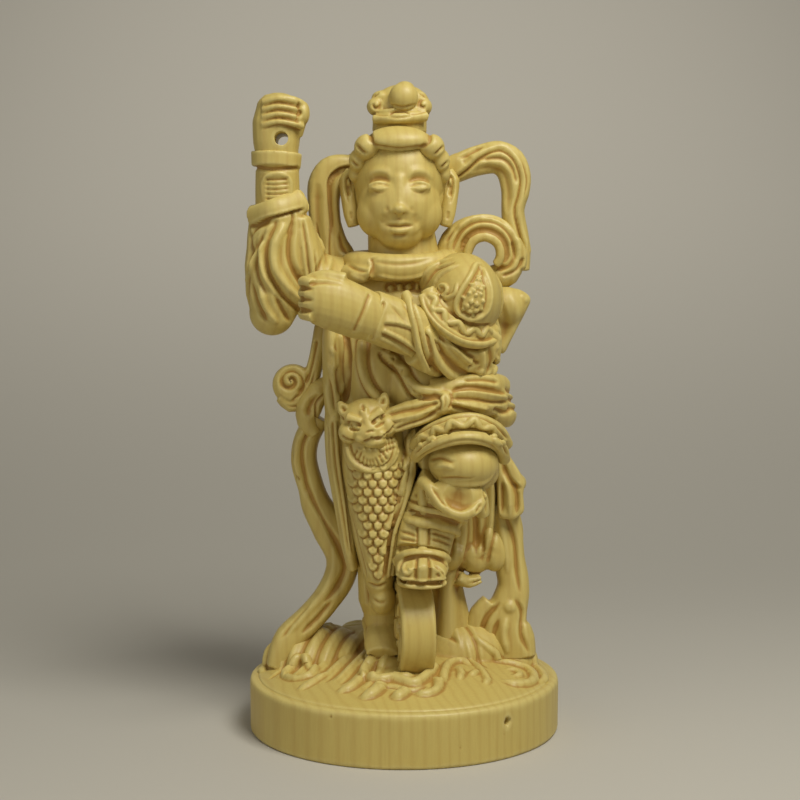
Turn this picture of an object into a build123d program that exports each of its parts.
"""Carved boxwood guardian figure, 112 mm tall, standing on a round base.

The figure is carved from one block. Each region that a carver would name is a solid of its own
here, and regions meet face to face: a later piece gives way to the ones made before it.
Frame: origin at the middle of the base's underside, +Z up, the figure faces -Y, and its own
right arm, the raised one, is on the -X side. Millimetres throughout.
"""

from build123d import *
from math import cos, radians, sin
import os

# ---------------------------------------------------------------- driving dimensions
# base
base_diameter = 54.2
base_height = 9.0
base_edge_radius = 0.8
mound_rise = 4.2  # how far the carved ground stands above the base's rim
mound_margin = 1.5  # plain border between the rim and the carved ground

# body, from the ground up
leg_length = 37.0  # ground to hip joint
torso_height = 31.0  # hip joint to the root of the neck
torso_width = 25.0
torso_depth = 18.0
waist_width = 24.0
neck_length = 2.5
neck_diameter = 9.6

# head
head_width = 16.6
head_depth = 18.0
head_height = 21.6
ear_height = 9.4
hair_thickness = 0.9
knot_diameter = 10.6
knot_height = 7.6

# raised right arm
forearm_length = 31.4  # elbow to the middle of the fist
forearm_radius = 3.9
sleeve_width = 13.0
wrist_band_width = 3.0
fist_width = 8.6
fist_depth = 9.0
fist_height = 10.6
finger_width = 1.6
finger_groove = 0.3
staff_hole_radius = 1.15
staff_hole_drop = 2.2  # hole axis below the middle of the fist
staff_hole_offset = 0.8  # hole axis towards the thumb from the middle of the fist

# bent left arm
left_forearm_length = 28.6
left_forearm_radius = 4.3
left_wrist_reach = 20.4  # elbow to the wrist band
left_fist_length = 10.4
left_fist_height = 9.0
shoulder_guard_width = 13.0
shoulder_guard_height = 18.0

# wheel under the left foot
wheel_diameter = 16.4
wheel_width = 5.8
wheel_rim = 2.0
wheel_recess = 0.7
wheel_sink = 1.6  # how deep the wheel stands in the ground
wheel_turn = 8.0  # degrees that the wheel and foot toe out
hub_radius = 2.2

# left leg
boot_length = 14.0
boot_width = 9.2
boot_height = 5.6
shin_length = 15.2
knee_radius = 6.6
thigh_guard_band = 2.2

# skirt, belt and ribbons
skirt_length = 27.0
skirt_width = 14.5
buckle_width = 10.4
buckle_height = 8.6
ribbon_width = 4.6
ribbon_depth = 5.0
tail_width = 6.0
tail_depth = 6.4
scroll_radius = 3.7
scroll_width = 5.0

# ---------------------------------------------------------------- places worked out from them
base_radius = base_diameter / 2
ground_z = base_height + mound_rise
hip_z = ground_z + leg_length
neck_z = hip_z + torso_height
chin_z = neck_z + neck_length - 1.0
crown_z = chin_z + head_height
shoulder_z = neck_z - 3.4
waist_z = hip_z + 3.4

HEAD = Vector(-0.8, -1.2, chin_z + head_height / 2)
RIGHT_ELBOW = Vector(-21.0, -4.5, neck_z - 9.2)
RIGHT_FIST = RIGHT_ELBOW + Vector(-0.2, -1.5, forearm_length)
LEFT_ELBOW = Vector(14.6, -6.5, neck_z - 17.8)
LEFT_WRIST_WAY = Vector(-21.4, -9.0, 9.2).normalized()
LEFT_FIST = LEFT_ELBOW + LEFT_WRIST_WAY * left_forearm_length
WHEEL = Vector(1.4, -8.0, ground_z - wheel_sink + wheel_diameter / 2 - 1.2)
FOOT_WAY = Vector(sin(radians(wheel_turn)), -cos(radians(wheel_turn)), 0)
ANKLE = WHEEL + Vector(1.6, 1.5, wheel_diameter / 2 + boot_height + 0.6)
SHIN_WAY = Vector(0.4, -0.32, 0.86).normalized()
# The raised knee stays below the sash, whatever the lengths of the leg, the wheel and the shin.
KNEE = ANKLE + SHIN_WAY * min(shin_length, (hip_z - 4.0 - ANKLE.Z) / SHIN_WAY.Z)
LEFT_HIP = Vector(6.5, 0.5, hip_z + 0.5)
BUCKLE = Vector(-6.2, -torso_depth / 2 - 2.0, waist_z)
RIGHT_HEEL = Vector(-3.6, -1.5, ground_z - 1.0)


# ---------------------------------------------------------------- ways of shaping wood
def blob(centre, half_x, half_y, half_z, turn=(0, 0, 0)):
    """An egg of the given half sizes, turned about its own centre, with small flats at its two ends."""
    sections = []
    for rise in (-80, -56, -28, 0, 28, 56, 80):
        level = Plane(Location(tuple(centre), turn)).offset(half_z * sin(radians(rise)))
        with BuildSketch(level, mode=Mode.PRIVATE) as section:
            Ellipse(half_x * cos(radians(rise)), half_y * cos(radians(rise)))
        sections.append(section.sketch.face())
    loft(sections=sections)


def limb(*stations, across=(1, 0, 0)):
    """Loft a tapering limb through (centre, half width, half depth) stations.

    Each station's ellipse stands square to the way from its neighbours, with its width along across.
    """
    centres = [Vector(*station[0]) for station in stations]
    sections = []
    for index, (_, half_width, half_depth) in enumerate(stations):
        way = centres[min(index + 1, len(centres) - 1)] - centres[max(index - 1, 0)]
        side = Vector(*across)
        side = side - way.normalized() * side.dot(way.normalized())
        with BuildSketch(Plane(centres[index], x_dir=side, z_dir=way), mode=Mode.PRIVATE) as section:
            Ellipse(half_width, half_depth)
        sections.append(section.sketch.face())
    loft(sections=sections)


def level_limb(*stations):
    """Loft through (x, y, z, half width, half depth) ellipses that all lie level."""
    sections = []
    for x, y, z, half_width, half_depth in stations:
        with BuildSketch(Plane((x, y, z)), mode=Mode.PRIVATE) as section:
            Ellipse(half_width, half_depth)
        sections.append(section.sketch.face())
    loft(sections=sections)


def strap(points, width, y_front, depth):
    """A flat-faced ribbon that follows (x, z) points, from y_front backwards."""
    with BuildSketch(Plane.XZ.offset(-y_front), mode=Mode.PRIVATE) as outline:
        with BuildLine():
            Spline(*points)
        trace(line_width=width)
    extrude(outline.sketch, amount=-depth)


def panel(points, y_front, depth):
    """A flat-faced panel with an (x, z) outline, from y_front backwards."""
    with BuildSketch(Plane.XZ.offset(-y_front), mode=Mode.PRIVATE) as outline:
        with BuildLine():
            Polyline(*points, close=True)
        make_face()
    extrude(outline.sketch, amount=-depth)


def give_way(*neighbours):
    """Take away what these finished pieces already hold."""
    for neighbour in neighbours:
        add(neighbour.part, mode=Mode.SUBTRACT)


def keep_main(piece):
    """Drop the slivers that giving way can leave beside a piece's main solid."""
    add(piece.solids().sort_by(SortBy.VOLUME)[-1], mode=Mode.REPLACE)


# ---------------------------------------------------------------- base and ground
with BuildPart() as base_disc:
    Cylinder(base_radius, base_height, align=(Align.CENTER, Align.CENTER, Align.MIN))
    fillet(base_disc.edges().sort_by(Axis.Z)[-1], base_edge_radius)

mound_radius = base_radius - mound_margin
mound_sphere = (mound_radius**2 + mound_rise**2) / (2 * mound_rise)
with BuildPart() as ground_mound:
    with Locations((0, 0, ground_z - mound_sphere)):
        Sphere(mound_sphere)
    split(bisect_by=Plane.XY.offset(base_height), keep=Keep.TOP)

# ---------------------------------------------------------------- body
with BuildPart() as torso:
    level_limb(
        (-0.8, 0.8, hip_z - 1.0, waist_width / 2 + 0.8, torso_depth / 2),
        (-1.2, 0.2, waist_z + 3.0, waist_width / 2, torso_depth / 2 + 0.3),
        (-0.8, 0.2, hip_z + torso_height * 0.42, torso_width / 2 - 0.2, torso_depth / 2 + 0.4),
        (-0.4, 1.0, hip_z + torso_height * 0.72, torso_width / 2, torso_depth / 2 - 0.4),
        (0.2, 1.6, hip_z + torso_height * 0.9, torso_width / 2 - 1.6, torso_depth / 2 - 1.8),
        (0.2, 1.2, neck_z + 0.4, neck_diameter / 2 + 1.0, neck_diameter / 2 + 1.0),
    )

# ---------------------------------------------------------------- wheel under the left foot
wheel_plane = Plane(WHEEL, x_dir=FOOT_WAY, z_dir=Vector(*FOOT_WAY).cross(Vector(0, 0, -1)))
wheel_radius = wheel_diameter / 2
with BuildPart() as foot_wheel:
    with BuildSketch(wheel_plane):
        Circle(wheel_radius)
    extrude(amount=wheel_width / 2, both=True)
    for face_side in (1, -1):
        with BuildSketch(wheel_plane.offset(face_side * wheel_width / 2)):
            Circle(wheel_radius - wheel_rim)
            Circle(hub_radius, mode=Mode.SUBTRACT)
        extrude(amount=-face_side * wheel_recess, mode=Mode.SUBTRACT)
    give_way(ground_mound, base_disc)

# ---------------------------------------------------------------- left foot, shin, knee and thigh
foot_top = Plane(
    WHEEL + Vector(0.6, 0, wheel_radius), x_dir=Vector(cos(radians(wheel_turn)), sin(radians(wheel_turn)), 0)
)
with BuildPart() as left_boot:
    limb(
        (foot_top.from_local_coords((0, boot_length * 0.36, 2.6)), boot_width * 0.34, 2.6),
        (foot_top.from_local_coords((0, boot_length * 0.1, 3.0)), boot_width * 0.42, 3.2),
        (foot_top.from_local_coords((0, -boot_length * 0.3, 2.4)), boot_width * 0.5, 2.8),
        (foot_top.from_local_coords((0, -boot_length * 0.56, 1.9)), boot_width * 0.46, 2.3),
        (foot_top.from_local_coords((0, -boot_length * 0.78, 1.6)), boot_width * 0.24, 1.2),
    )
    give_way(foot_wheel)

with BuildPart() as left_shin:
    limb(
        (ANKLE + Vector(-0.6, 0.6, -2.6), 4.0, 4.0),
        (ANKLE + (KNEE - ANKLE) * 0.3, 4.7, 4.6),
        (ANKLE + (KNEE - ANKLE) * 0.75, 4.9, 5.0),
        (KNEE, 5.2, 5.4),
    )
    give_way(left_boot)

with BuildPart() as left_knee:
    blob(KNEE + Vector(0, 0, 0.6), knee_radius, knee_radius * 1.05, knee_radius * 0.86)
    give_way(left_shin, torso)

with BuildPart() as knee_cloth:
    limb(
        (KNEE + Vector(-0.6, -3.6, -3.2), 4.8, 2.6),
        (KNEE + Vector(-1.6, -4.0, -6.4), 4.4, 2.6),
        (KNEE + Vector(-2.4, -3.8, -9.0), 2.8, 1.6),
    )
    give_way(left_knee, left_shin, left_boot)

with BuildPart() as left_thigh:
    limb(
        (LEFT_HIP, 7.6, 8.0),
        (LEFT_HIP + (KNEE - LEFT_HIP) * 0.5, 7.4, 7.0),
        (KNEE + Vector(-0.2, 2.4, 1.4), 7.0, 6.2),
    )
    give_way(torso, left_knee, left_shin)

thigh_way = (KNEE - LEFT_HIP).normalized()
with BuildPart() as thigh_guard_trim:
    with BuildSketch(Plane(KNEE + Vector(0.2, -1.2, 2.0), x_dir=(1, 0, 0.2), z_dir=(-0.1, -1, 0.55))):
        Circle(knee_radius + thigh_guard_band * 0.7)
        Circle(knee_radius - thigh_guard_band * 0.5, mode=Mode.SUBTRACT)
        with Locations((0, -knee_radius - 2.2)):
            Rectangle(4 * knee_radius, 2 * knee_radius, mode=Mode.SUBTRACT)
    extrude(amount=thigh_guard_band / 2, both=True)
    give_way(left_knee, left_thigh, left_shin, torso)
    keep_main(thigh_guard_trim)

# ---------------------------------------------------------------- standing right leg
with BuildPart() as right_boot:
    level_limb(
        (RIGHT_HEEL.X, RIGHT_HEEL.Y - 1.8, RIGHT_HEEL.Z - 2.0, 3.6, 6.2),
        (RIGHT_HEEL.X, RIGHT_HEEL.Y - 1.4, RIGHT_HEEL.Z + 1.4, 3.3, 5.4),
        (RIGHT_HEEL.X, RIGHT_HEEL.Y, RIGHT_HEEL.Z + 4.0, 3.0, 3.6),
        (RIGHT_HEEL.X, RIGHT_HEEL.Y + 0.2, RIGHT_HEEL.Z + 8.0, 3.1, 3.4),
    )
    give_way(ground_mound, base_disc, foot_wheel)

with BuildPart() as right_shin:
    level_limb(
        (RIGHT_HEEL.X, RIGHT_HEEL.Y + 0.2, RIGHT_HEEL.Z + 8.0, 3.9, 4.4),
        (RIGHT_HEEL.X, RIGHT_HEEL.Y + 0.2, RIGHT_HEEL.Z + 10.0, 4.6, 5.2),
        (RIGHT_HEEL.X - 0.2, RIGHT_HEEL.Y, RIGHT_HEEL.Z + 15.0, 4.4, 5.2),
        (RIGHT_HEEL.X - 0.4, RIGHT_HEEL.Y, RIGHT_HEEL.Z + 20.0, 4.8, 5.4),
    )
    give_way(right_boot, foot_wheel, left_boot, left_shin)

# ---------------------------------------------------------------- skirt and robe
with BuildPart() as scale_skirt:
    level_limb(
        (-4.6, -4.6, hip_z + 0.8, skirt_width / 2 + 0.6, 7.6),
        (-4.8, -5.2, hip_z - skirt_length * 0.25, skirt_width / 2 - 0.2, 7.2),
        (-4.2, -5.4, hip_z - skirt_length * 0.55, skirt_width / 2 - 1.6, 6.4),
        (-3.4, -5.4, hip_z - skirt_length * 0.82, skirt_width / 2 - 3.8, 4.6),
        (-3.0, -5.4, hip_z - skirt_length * 0.92, 1.6, 2.2),
    )
    give_way(torso, left_knee, left_thigh, left_shin, left_boot, right_shin, right_boot, knee_cloth, thigh_guard_trim)
    give_way(foot_wheel)
    keep_main(scale_skirt)

with BuildPart() as robe_skirt:
    level_limb(
        (2.4, 2.6, hip_z + 1.4, 14.6, 8.4),
        (3.4, 3.6, hip_z - 8.0, 15.0, 7.6),
        (5.0, 4.6, hip_z - 16.0, 14.2, 6.2),
        (7.2, 5.2, hip_z - 24.5, 10.6, 4.8),
    )
    give_way(torso, left_thigh, left_knee, left_shin, right_shin, scale_skirt, thigh_guard_trim)
    give_way(left_boot, knee_cloth, foot_wheel)

with BuildPart() as robe_front_edge:
    panel(
        [
            (-13.6, waist_z + 1.0),
            (-9.6, waist_z + 1.0),
            (-9.4, hip_z - 10.0),
            (-7.2, hip_z - 20.0),
            (-8.4, hip_z - 22.5),
            (-11.8, hip_z - 15.0),
            (-13.2, hip_z - 6.0),
        ],
        -8.0,
        10.0,
    )
    give_way(torso, scale_skirt, robe_skirt, right_shin)

# ---------------------------------------------------------------- belt, sash and buckle
with BuildPart() as beast_buckle:
    blob(BUCKLE, buckle_width / 2, 2.8, buckle_height / 2)
    blob(BUCKLE + Vector(0, -1.8, -buckle_height * 0.16), buckle_width * 0.24, 2.0, buckle_height * 0.2)
    for ear_side in (1, -1):
        blob(
            BUCKLE + Vector(ear_side * buckle_width * 0.36, 0, buckle_height * 0.46),
            1.3,
            1.6,
            1.9,
            turn=(0, ear_side * 24, 0),
        )
    give_way(torso, scale_skirt)

with BuildPart() as apron_plate:
    blob(BUCKLE + Vector(0.4, -1.4, -5.0), 5.8, 2.6, 3.6)
    give_way(torso, beast_buckle, scale_skirt)
    keep_main(apron_plate)

with BuildPart() as waist_sash:
    level_limb(
        (2.6, -0.4, waist_z - 2.4, waist_width / 2 + 3.0, torso_depth / 2 + 1.4),
        (3.2, -0.8, waist_z + 0.4, waist_width / 2 + 3.2, torso_depth / 2 + 2.2),
        (3.2, -0.6, waist_z + 3.6, waist_width / 2 + 2.4, torso_depth / 2 + 1.4),
    )
    with Locations((-14.6, -6.0, waist_z)):
        Box(20, 30, 20, mode=Mode.SUBTRACT)
    give_way(torso, beast_buckle, apron_plate, scale_skirt, robe_skirt, robe_front_edge)
    give_way(left_thigh, thigh_guard_trim, left_knee, left_shin)

with BuildPart() as sash_knot:
    blob(Vector(6.4, -torso_depth / 2 - 2.2, waist_z + 2.6), 2.8, 2.2, 2.4)
    give_way(torso, waist_sash, left_thigh, thigh_guard_trim, left_knee)

with BuildPart() as hip_tab:
    panel(
        [
            (16.0, hip_z - 2.0),
            (19.6, hip_z - 3.4),
            (21.4, hip_z - 6.4),
            (20.8, hip_z - 9.6),
            (20.6, hip_z - 14.2),
            (16.4, hip_z - 14.8),
        ],
        -3.0,
        6.0,
    )
    give_way(torso, robe_skirt, waist_sash, left_thigh, thigh_guard_trim, left_knee)

# ---------------------------------------------------------------- raised right arm
with BuildPart() as right_sleeve:
    limb(
        (Vector(-8.4, 0.6, neck_z - 6.0), 6.0, 6.4),
        (Vector(-13.6, -0.8, neck_z - 5.6), 6.4, 6.4),
        (Vector(-19.0, -3.0, neck_z - 5.0), 6.6, 6.0),
        across=(0, 0, 1),
    )
    level_limb(
        (RIGHT_ELBOW.X - 1.4, RIGHT_ELBOW.Y, RIGHT_ELBOW.Z - 3.2, 1.6, 1.8),
        (RIGHT_ELBOW.X - 0.8, RIGHT_ELBOW.Y, RIGHT_ELBOW.Z - 0.4, 4.6, 4.6),
        (RIGHT_ELBOW.X, RIGHT_ELBOW.Y, RIGHT_ELBOW.Z + 5.0, sleeve_width / 2 - 0.4, 6.2),
        (RIGHT_ELBOW.X, RIGHT_ELBOW.Y - 0.4, RIGHT_ELBOW.Z + 11.0, sleeve_width / 2 - 0.6, 5.8),
        (RIGHT_ELBOW.X, RIGHT_ELBOW.Y - 0.8, RIGHT_ELBOW.Z + 18.6, forearm_radius + 1.2, forearm_radius + 1.0),
    )
    give_way(torso)

with BuildPart() as right_forearm:
    limb(
        (RIGHT_FIST + Vector(-0.2, 0.6, -16.0), forearm_radius, forearm_radius),
        (RIGHT_FIST + Vector(-0.2, 0.3, -10.0), forearm_radius * 0.98, forearm_radius),
        (RIGHT_FIST + Vector(-0.1, 0.1, -4.0), forearm_radius * 0.9, forearm_radius * 0.9),
    )
    give_way(right_sleeve)

with BuildPart() as right_wrist_band:
    with Locations(RIGHT_FIST + Vector(-0.1, 0.1, -fist_height / 2 - wrist_band_width / 2 + 0.8)):
        Cylinder(forearm_radius + 0.5, wrist_band_width)
    fillet(right_wrist_band.edges().filter_by(GeomType.CIRCLE), 0.5)
    give_way(right_forearm)

with BuildPart() as right_fist:
    with Locations(RIGHT_FIST):
        Box(fist_width, fist_depth, fist_height)
    fillet(right_fist.edges().filter_by(Axis.Z), 2.4)
    fillet(right_fist.faces().sort_by(Axis.Z)[-1].edges(), 2.2)
    for fold in range(1, 4):
        with Locations(RIGHT_FIST + Vector(0, -fist_depth / 2, fist_height / 2 - fold * finger_width)):
            Cylinder(finger_groove, fist_width * 0.9, rotation=(0, 90, 0), mode=Mode.SUBTRACT)
    with Locations(RIGHT_FIST + Vector(fist_width / 2 + 0.2, -1.2, 1.6)):
        Cylinder(1.4, 4.4, rotation=(20, 0, 0))
    with Locations(RIGHT_FIST + Vector(staff_hole_offset, 0, -staff_hole_drop)):
        Cylinder(staff_hole_radius, 2 * fist_depth, rotation=(90, 0, 0), mode=Mode.SUBTRACT)
    give_way(right_wrist_band, right_forearm)

# ---------------------------------------------------------------- bent left arm
with BuildPart() as left_forearm:
    limb(
        (LEFT_ELBOW + LEFT_WRIST_WAY * 1.0, left_forearm_radius + 0.5, left_forearm_radius + 0.4),
        (LEFT_ELBOW + LEFT_WRIST_WAY * 10.0, left_forearm_radius + 0.2, left_forearm_radius),
        (LEFT_ELBOW + LEFT_WRIST_WAY * left_wrist_reach, left_forearm_radius - 0.5, left_forearm_radius - 0.5),
        across=(0, 0, 1),
    )
    give_way(torso)

with BuildPart() as left_wrist_band:
    with BuildSketch(Plane(LEFT_ELBOW + LEFT_WRIST_WAY * left_wrist_reach, z_dir=LEFT_WRIST_WAY)):
        Circle(left_forearm_radius + 0.2)
    extrude(amount=wrist_band_width)
    fillet(left_wrist_band.edges().filter_by(GeomType.CIRCLE), 0.5)
    give_way(torso, left_forearm)

with BuildPart() as left_fist:
    limb(
        (LEFT_ELBOW + LEFT_WRIST_WAY * (left_wrist_reach + wrist_band_width), 3.6, 3.6),
        (LEFT_FIST - LEFT_WRIST_WAY * 1.4, left_fist_height / 2, 4.4),
        (LEFT_FIST + LEFT_WRIST_WAY * 2.2, left_fist_height / 2 - 0.2, 4.3),
        (LEFT_FIST + LEFT_WRIST_WAY * (left_fist_length - 5.0), left_fist_height / 2 - 1.6, 3.0),
        across=(0, 0, 1),
    )
    give_way(left_wrist_band, torso, right_sleeve)

with BuildPart() as left_sleeve:
    limb(
        (Vector(10.4, 0.4, neck_z - 6.0), 5.8, 6.6),
        (Vector(12.2, -1.6, neck_z - 12.0), 6.0, 7.0),
        (LEFT_ELBOW + Vector(-0.6, 1.6, 2.6), 6.0, 6.8),
        (LEFT_ELBOW + Vector(0.8, 1.2, -2.0), 2.8, 3.6),
    )
    give_way(torso, left_forearm, waist_sash, robe_skirt)

with BuildPart() as left_shoulder_guard:
    blob(
        Vector(10.4, -3.2, neck_z - 6.6),
        shoulder_guard_width / 2,
        6.2,
        shoulder_guard_height / 2,
        turn=(-8, 0, 10),
    )
    give_way(torso, left_sleeve, left_forearm)

with BuildPart() as shoulder_wing:
    panel(
        [
            (13.6, neck_z - 4.4),
            (18.2, neck_z - 4.2),
            (22.4, neck_z - 6.6),
            (20.6, neck_z - 11.0),
            (17.4, neck_z - 15.8),
            (13.6, neck_z - 14.6),
        ],
        -2.0,
        6.0,
    )
    give_way(torso, left_sleeve, left_shoulder_guard)

# ---------------------------------------------------------------- neck, head and hair
with BuildPart() as collar:
    level_limb(
        (0.2, -0.6, neck_z - 5.4, 12.4, 8.6),
        (0.2, -0.2, neck_z - 2.4, 10.6, 8.0),
        (0.2, 0.2, neck_z + 0.6, 6.4, 6.0),
    )
    give_way(torso, left_sleeve, left_shoulder_guard, right_sleeve, left_fist, left_forearm)

with BuildPart() as neck:
    with Locations((0.2, 0.2, neck_z)):
        Cylinder(neck_diameter / 2, neck_length + 6.0, align=(Align.CENTER, Align.CENTER, Align.MIN))
    give_way(torso, collar)

with BuildPart() as head:
    blob(HEAD, head_width / 2, head_depth / 2, head_height / 2)
    blob(HEAD + Vector(0, -1.6, -head_height * 0.22), head_width * 0.42, head_depth * 0.38, head_height * 0.28)
    give_way(neck, collar)

with BuildPart() as ears:
    for ear_side in (1, -1):
        blob(
            HEAD + Vector(ear_side * (head_width / 2 + 0.3), 0.6, -head_height * 0.08),
            1.1,
            1.7,
            ear_height / 2,
        )
    give_way(head, collar)

with BuildPart() as hair:
    blob(
        HEAD + Vector(0, 0.6, 0.4),
        head_width / 2 + hair_thickness,
        head_depth / 2 + hair_thickness,
        head_height / 2 + hair_thickness * 0.4,
    )
    with BuildSketch(Plane.YZ.offset(HEAD.X), mode=Mode.PRIVATE) as face_side:
        with BuildLine():
            Polyline(
                (HEAD.Y - head_depth, HEAD.Z + head_height * 0.27),
                (HEAD.Y - 1.6, HEAD.Z + head_height * 0.27),
                (HEAD.Y - 1.6, HEAD.Z - head_height * 0.1),
                (HEAD.Y + 3.4, HEAD.Z - head_height * 0.34),
                (HEAD.Y + head_depth, HEAD.Z - head_height * 0.34),
                (HEAD.Y + head_depth, HEAD.Z - head_height),
                (HEAD.Y - head_depth, HEAD.Z - head_height),
                close=True,
            )
        make_face()
    extrude(face_side.sketch, amount=head_width, both=True, mode=Mode.SUBTRACT)
    give_way(head, neck, ears, collar)

knot_foot = crown_z - 0.9
with BuildPart() as hair_knot:
    with Locations((HEAD.X + 0.4, HEAD.Y + 0.6, knot_foot)):
        Cone(
            knot_diameter / 2 - 0.2,
            knot_diameter / 2 - 0.8,
            knot_height * 0.34,
            align=(Align.CENTER, Align.CENTER, Align.MIN),
        )
    blob(
        Vector(HEAD.X + 0.4, HEAD.Y + 0.8, knot_foot + knot_height * 0.56),
        knot_diameter / 2,
        knot_diameter / 2 - 0.6,
        knot_height * 0.42,
    )
    give_way(head, hair)

with BuildPart() as crown_jewel:
    with Locations((HEAD.X + 0.6, HEAD.Y - knot_diameter * 0.3, crown_z + knot_height - 3.3)):
        Sphere(3.0)
    give_way(hair_knot, hair)

# ---------------------------------------------------------------- flying ribbons
with BuildPart() as ribbon_arch_right:
    strap(
        [
            (-8.6, crown_z - 6.0),
            (-12.8, crown_z - 5.6),
            (-14.8, crown_z - 10.4),
            (-14.2, crown_z - 19.0),
            (-13.0, neck_z - 3.0),
        ],
        ribbon_width,
        0.2,
        ribbon_depth,
    )
    give_way(right_sleeve, torso, collar, hair, ears, head)

with BuildPart() as ribbon_arch_left:
    strap(
        [
            (6.4, crown_z - 9.4),
            (11.6, crown_z - 5.6),
            (17.0, crown_z - 4.6),
            (19.6, crown_z - 10.6),
            (18.8, crown_z - 18.0),
            (19.8, neck_z - 1.0),
        ],
        ribbon_width,
        0.4,
        ribbon_depth,
    )
    give_way(left_sleeve, left_shoulder_guard, shoulder_wing, hair, ears, head)

with BuildPart() as ribbon_nape:
    strap(
        [(-9.6, crown_z - 6.0), (HEAD.X, crown_z - 5.4), (8.4, crown_z - 7.6)],
        ribbon_width,
        HEAD.Y + head_depth / 2 - 2.2,
        3.8,
    )
    give_way(hair, head, ribbon_arch_right, ribbon_arch_left)

with BuildPart() as shoulder_scroll:
    strap(
        [
            (7.8, neck_z - 0.4),
            (10.0, neck_z + 4.0),
            (14.4, neck_z + 5.6),
            (18.0, neck_z + 3.2),
            (18.4, neck_z - 1.6),
            (15.4, neck_z - 4.6),
        ],
        scroll_width,
        -2.6,
        6.4,
    )
    give_way(torso, collar, neck, head, hair, ears, left_shoulder_guard, left_sleeve)
    give_way(shoulder_wing, ribbon_arch_left)

with BuildPart() as hip_scroll:
    with Locations(Plane.XZ.location * Location((-19.0, waist_z + 6.4, -2.0))):
        Cylinder(scroll_radius, 4.6)
    strap(
        [(-18.6, waist_z + 3.8), (-15.6, waist_z + 8.0), (-14.0, waist_z + 15.0)],
        2.6,
        -0.4,
        4.4,
    )
    give_way(torso, right_sleeve, robe_front_edge)

with BuildPart() as hip_leaf:
    panel(
        [
            (-12.8, waist_z + 7.0),
            (-15.0, waist_z + 4.4),
            (-17.0, waist_z + 0.6),
            (-16.4, waist_z - 2.6),
            (-13.8, waist_z - 2.0),
            (-12.0, waist_z + 2.0),
        ],
        -2.0,
        5.0,
    )
    give_way(torso, hip_scroll, robe_front_edge, robe_skirt)

with BuildPart() as ribbon_tail_right:
    strap(
        [
            (-14.6, waist_z - 1.4),
            (-16.8, hip_z - 6.0),
            (-14.6, hip_z - 15.0),
            (-10.6, hip_z - 23.0),
            (-13.8, ground_z + 7.6),
            (-21.4, ground_z + 0.4),
        ],
        tail_width,
        -1.6,
        tail_depth,
    )
    give_way(ground_mound, base_disc, torso, hip_leaf, robe_front_edge, scale_skirt, right_shin, robe_skirt)

with BuildPart() as ribbon_tail_left:
    strap(
        [
            (17.2, hip_z - 12.0),
            (18.4, hip_z - 22.0),
            (19.6, ground_z + 7.0),
            (19.4, ground_z + 1.0),
            (20.0, base_height),
        ],
        tail_width + 0.6,
        -0.8,
        tail_depth,
    )
    give_way(ground_mound, base_disc, hip_tab, robe_skirt)

with BuildPart() as back_cape:
    level_limb(
        (1.8, 7.0, hip_z - 18.0, 9.0, 4.6),
        (1.2, 6.6, hip_z - 4.0, 11.0, 5.4),
        (0.6, 5.8, hip_z + 10.0, 11.0, 5.4),
        (0.2, 4.8, hip_z + 22.0, 10.6, 5.0),
        (0.0, 3.6, neck_z - 1.0, 7.0, 3.6),
    )
    give_way(torso, robe_skirt, left_thigh, waist_sash, right_sleeve, left_sleeve, collar, right_shin)
    give_way(left_knee, left_shin, scale_skirt, shoulder_wing, hip_tab, ribbon_tail_right, ribbon_tail_left)
    give_way(neck, hip_leaf, hip_scroll, robe_front_edge, shoulder_scroll, left_shoulder_guard)
    give_way(ribbon_arch_left, ribbon_arch_right)

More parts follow.
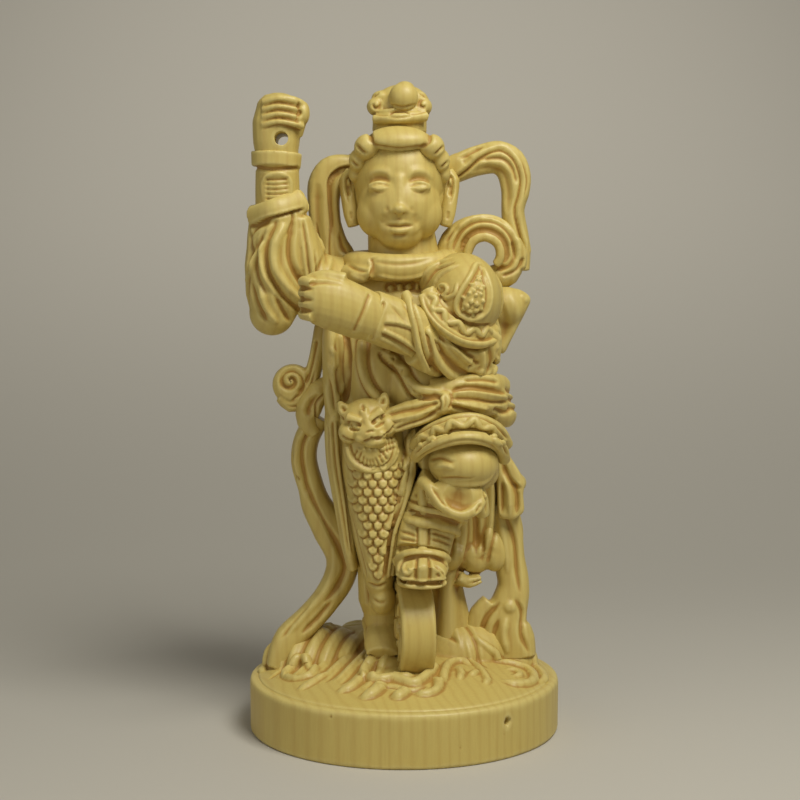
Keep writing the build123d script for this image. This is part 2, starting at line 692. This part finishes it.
# ---------------------------------------------------------------- flames carved on the ground
# Each curl is an arc on the ground: centre x, centre y, radius, start angle, sweep.
flame_curls = [
    (0.0, -16.6, 4.0, 150, 200),
    (-6.2, -19.0, 3.0, 120, 190),
    (5.4, -18.6, 2.6, 200, 210),
    (10.4, -16.0, 2.4, 20, 170),
    (14.6, -15.0, 2.6, 180, 200),
    (18.4, -9.4, 3.0, 160, 230),
    (-12.4, -16.2, 3.2, 110, 180),
    (-17.6, -10.6, 3.4, 120, 200),
    (-20.4, -3.0, 2.6, 90, 180),
    (-16.0, 13.0, 3.4, 60, 200),
    (0.0, 19.0, 3.6, 10, 210),
    (14.6, 14.4, 3.4, -30, 210),
]
curl_width = 1.5
curl_height = 1.6
with BuildPart() as flame_scrolls:
    for x, y, radius, start, sweep_angle in flame_curls:
        reach = (x * x + y * y) ** 0.5 / mound_radius
        curl_ground = base_height + mound_rise * (1 - reach**2)
        with BuildSketch(Plane((x, y, curl_ground - 1.2)), mode=Mode.PRIVATE) as curl:
            with BuildLine():
                CenterArc((0, 0), radius, start, sweep_angle)
            trace(line_width=curl_width)
        extrude(curl.sketch, amount=curl_height + 1.2)
    give_way(ground_mound, base_disc, foot_wheel, right_boot, ribbon_tail_right, ribbon_tail_left)

# ---------------------------------------------------------------- write one file per piece
pieces = {
    "base_disc": base_disc,
    "ground_mound": ground_mound,
    "flame_scrolls": flame_scrolls,
    "foot_wheel": foot_wheel,
    "left_boot": left_boot,
    "left_shin": left_shin,
    "left_knee": left_knee,
    "knee_cloth": knee_cloth,
    "left_thigh": left_thigh,
    "thigh_guard_trim": thigh_guard_trim,
    "right_boot": right_boot,
    "right_shin": right_shin,
    "scale_skirt": scale_skirt,
    "robe_skirt": robe_skirt,
    "robe_front_edge": robe_front_edge,
    "torso": torso,
    "beast_buckle": beast_buckle,
    "apron_plate": apron_plate,
    "waist_sash": waist_sash,
    "sash_knot": sash_knot,
    "hip_tab": hip_tab,
    "right_sleeve": right_sleeve,
    "right_forearm": right_forearm,
    "right_wrist_band": right_wrist_band,
    "right_fist": right_fist,
    "left_forearm": left_forearm,
    "left_wrist_band": left_wrist_band,
    "left_fist": left_fist,
    "left_sleeve": left_sleeve,
    "left_shoulder_guard": left_shoulder_guard,
    "shoulder_wing": shoulder_wing,
    "collar": collar,
    "neck": neck,
    "head": head,
    "ears": ears,
    "hair": hair,
    "hair_knot": hair_knot,
    "crown_jewel": crown_jewel,
    "ribbon_arch_right": ribbon_arch_right,
    "ribbon_arch_left": ribbon_arch_left,
    "ribbon_nape": ribbon_nape,
    "shoulder_scroll": shoulder_scroll,
    "hip_scroll": hip_scroll,
    "hip_leaf": hip_leaf,
    "ribbon_tail_right": ribbon_tail_right,
    "ribbon_tail_left": ribbon_tail_left,
    "back_cape": back_cape,
}

os.makedirs("parts", exist_ok=True)
for name, piece in pieces.items():
    piece.part.label = name
    export_step(piece.part, f"parts/{name}.step")
    print(f"{name:22s} {len(piece.part.solids()):3d} solids {piece.part.volume:9.1f} mm3")
